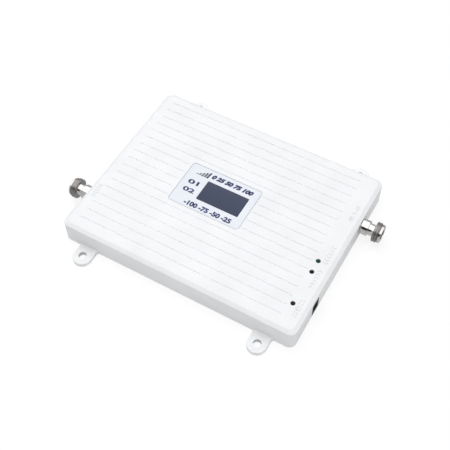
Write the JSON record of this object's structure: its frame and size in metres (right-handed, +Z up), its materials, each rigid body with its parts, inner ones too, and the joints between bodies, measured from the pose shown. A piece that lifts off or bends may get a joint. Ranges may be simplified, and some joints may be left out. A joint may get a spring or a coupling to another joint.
{
  "type": "cellular signal booster",
  "caption": "Flat white die-cast box with a grooved roof, small display, status lamps, fixing ears and a coaxial antenna jack at each end; amplifies a mobile-phone signal indoors.",
  "frame": {"origin": "middle of the box on the plane of its underside", "axes": "+X along the long side towards the end with the power inlet, +Y towards the rear long side, +Z up out of the grooved roof"},
  "size_m": [0.2276, 0.1866, 0.02],
  "materials": {
    "white_paint": "satin white powder coat on die-cast aluminium",
    "cover_metal": "brushed sheet aluminium",
    "screw_steel": "plain zinc-plated steel",
    "board_green": "green solder mask over glass-fibre board",
    "label_print": "pale bluish white printed polycarbonate, satin",
    "lens_smoke": "dark slate-blue smoked acrylic, gloss",
    "display_glass": "dark display glass",
    "black_plastic": "black moulded plastic",
    "green_lens": "dark green clear epoxy, unlit",
    "dark_lens": "near-black clear epoxy, unlit",
    "red_lens": "dark red clear epoxy, unlit",
    "nickel": "warm grey nickel plate, polished",
    "gold": "gold-plated brass contact",
    "white_insulator": "white fluoroplastic, waxy",
    "tinned_can": "tinned sheet steel",
    "chip_black": "black epoxy chip package",
    "ceramic_filter": "silvered ceramic block",
    "ferrite_grey": "dark grey ferrite and potting",
    "capacitor_can": "bare aluminium can",
    "thermal_pad": "soft blue-grey silicone pad"
  },
  "bodies": {
    "root": {"board_screw_1": "screw_steel", "board_screw_2": "screw_steel", "board_screw_3": "screw_steel", "board_screw_4": "screw_steel", "board_screw_5": "screw_steel", "bottom_cover": "cover_metal", "controller_chip": "chip_black", "cover_screw_1": "screw_steel", "cover_screw_2": "screw_steel", "cover_screw_3": "screw_steel", "cover_screw_4": "screw_steel", "cover_screw_5": "screw_steel", "cover_screw_6": "screw_steel", "dc_inlet_body": "black_plastic", "dc_inlet_pin": "nickel", "display_connector": "black_plastic", "display_frame": "black_plastic", "display_lens": "lens_smoke", "display_panel": "display_glass", "downlink_amplifier": "chip_black", "downlink_led": "green_lens", "downlink_preamp": "chip_black", "downlink_shield_can": "tinned_can", "housing_shell": "white_paint", "indoor_duplexer": "ceramic_filter", "indoor_jack_body": "nickel", "indoor_jack_contact": "gold", "indoor_jack_insulator": "white_insulator", "indoor_jack_nut": "nickel", "indoor_jack_washer": "screw_steel", "main_board": "board_green", "outdoor_duplexer": "ceramic_filter", "outdoor_jack_body": "nickel", "outdoor_jack_contact": "gold", "outdoor_jack_insulator": "white_insulator", "outdoor_jack_nut": "nickel", "outdoor_jack_washer": "screw_steel", "overlay_label": "label_print", "power_capacitor_1": "capacitor_can", "power_capacitor_2": "capacitor_can", "power_inductor": "ferrite_grey", "power_led": "red_lens", "regulator_chip": "chip_black", "thermal_pad_1": "thermal_pad", "thermal_pad_2": "thermal_pad", "uplink_amplifier": "chip_black", "uplink_led": "dark_lens", "uplink_preamp": "chip_black", "uplink_shield_can": "tinned_can"}
  },
  "joints": []
}
